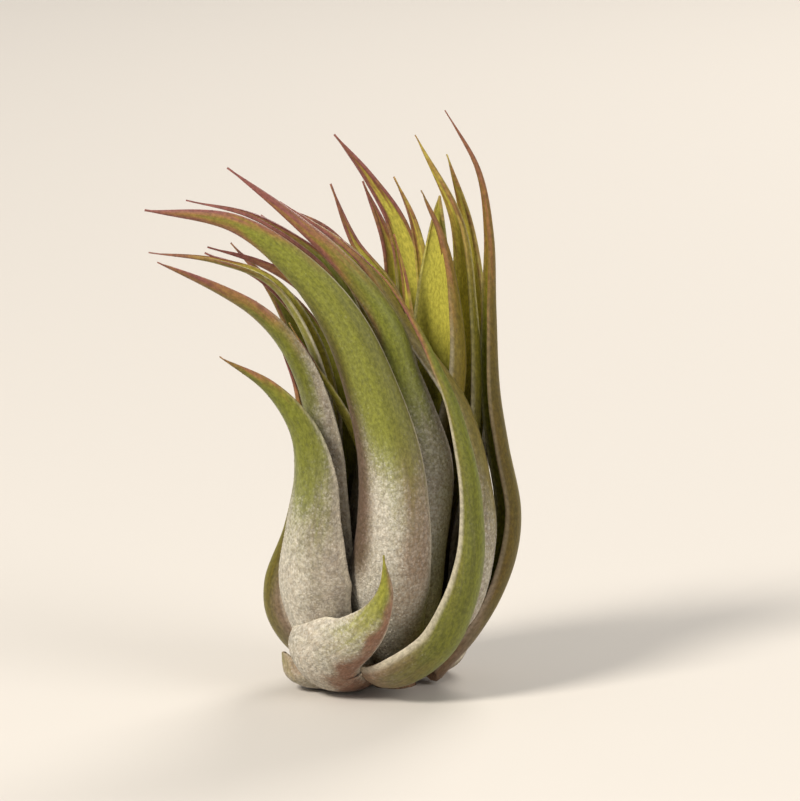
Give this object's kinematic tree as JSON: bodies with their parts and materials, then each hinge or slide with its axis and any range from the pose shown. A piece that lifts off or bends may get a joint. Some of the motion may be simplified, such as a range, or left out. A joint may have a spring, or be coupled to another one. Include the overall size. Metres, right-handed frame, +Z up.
{
  "type": "air plant",
  "caption": "Small air plant whose channelled silvery leaves swell into a loose bulb and sweep up to one side, standing free on its stem end.",
  "frame": {"origin": "centre of the flat dry end of the stem, on the surface that the plant stands on", "axes": "+Z up along the plant, +X to the right of its front, so that most blades sweep towards -X, and +Y towards its back"},
  "size_m": [0.0504, 0.0313, 0.0786],
  "materials": {
    "stem": "dry, fibrous and dull",
    "basal_leaf": "leaf tissue, matt with dry silvery scurf",
    "outer_leaf": "leaf tissue, matt silvery grey at the sheath, olive green on the blade",
    "inner_leaf": "leaf tissue, satin yellow green with brown and purple tips"
  },
  "bodies": {
    "root": {"stem": "stem", "basal_leaf_front": "basal_leaf", "basal_leaf_left": "basal_leaf", "basal_leaf_back_left": "basal_leaf", "basal_leaf_back_right": "basal_leaf", "outer_leaf_front": "outer_leaf", "outer_leaf_front_left": "outer_leaf", "outer_leaf_front_right": "outer_leaf", "outer_leaf_right": "outer_leaf", "outer_leaf_back_right": "outer_leaf", "outer_leaf_back": "outer_leaf", "outer_leaf_back_left": "outer_leaf", "outer_leaf_left_back": "outer_leaf", "outer_leaf_left": "outer_leaf", "second_leaf_left": "inner_leaf", "second_leaf_front": "inner_leaf", "second_leaf_right": "inner_leaf", "second_leaf_right_back": "inner_leaf", "second_leaf_back_right": "inner_leaf", "second_leaf_back": "inner_leaf", "second_leaf_back_left": "inner_leaf", "second_leaf_left_back": "inner_leaf", "third_leaf_front_left": "inner_leaf", "third_leaf_front_right": "inner_leaf", "third_leaf_right": "inner_leaf", "third_leaf_back_right": "inner_leaf", "third_leaf_back": "inner_leaf", "third_leaf_left": "inner_leaf", "heart_leaf_left": "inner_leaf", "heart_leaf_front": "inner_leaf", "heart_leaf_back": "inner_leaf"}
  },
  "joints": []
}
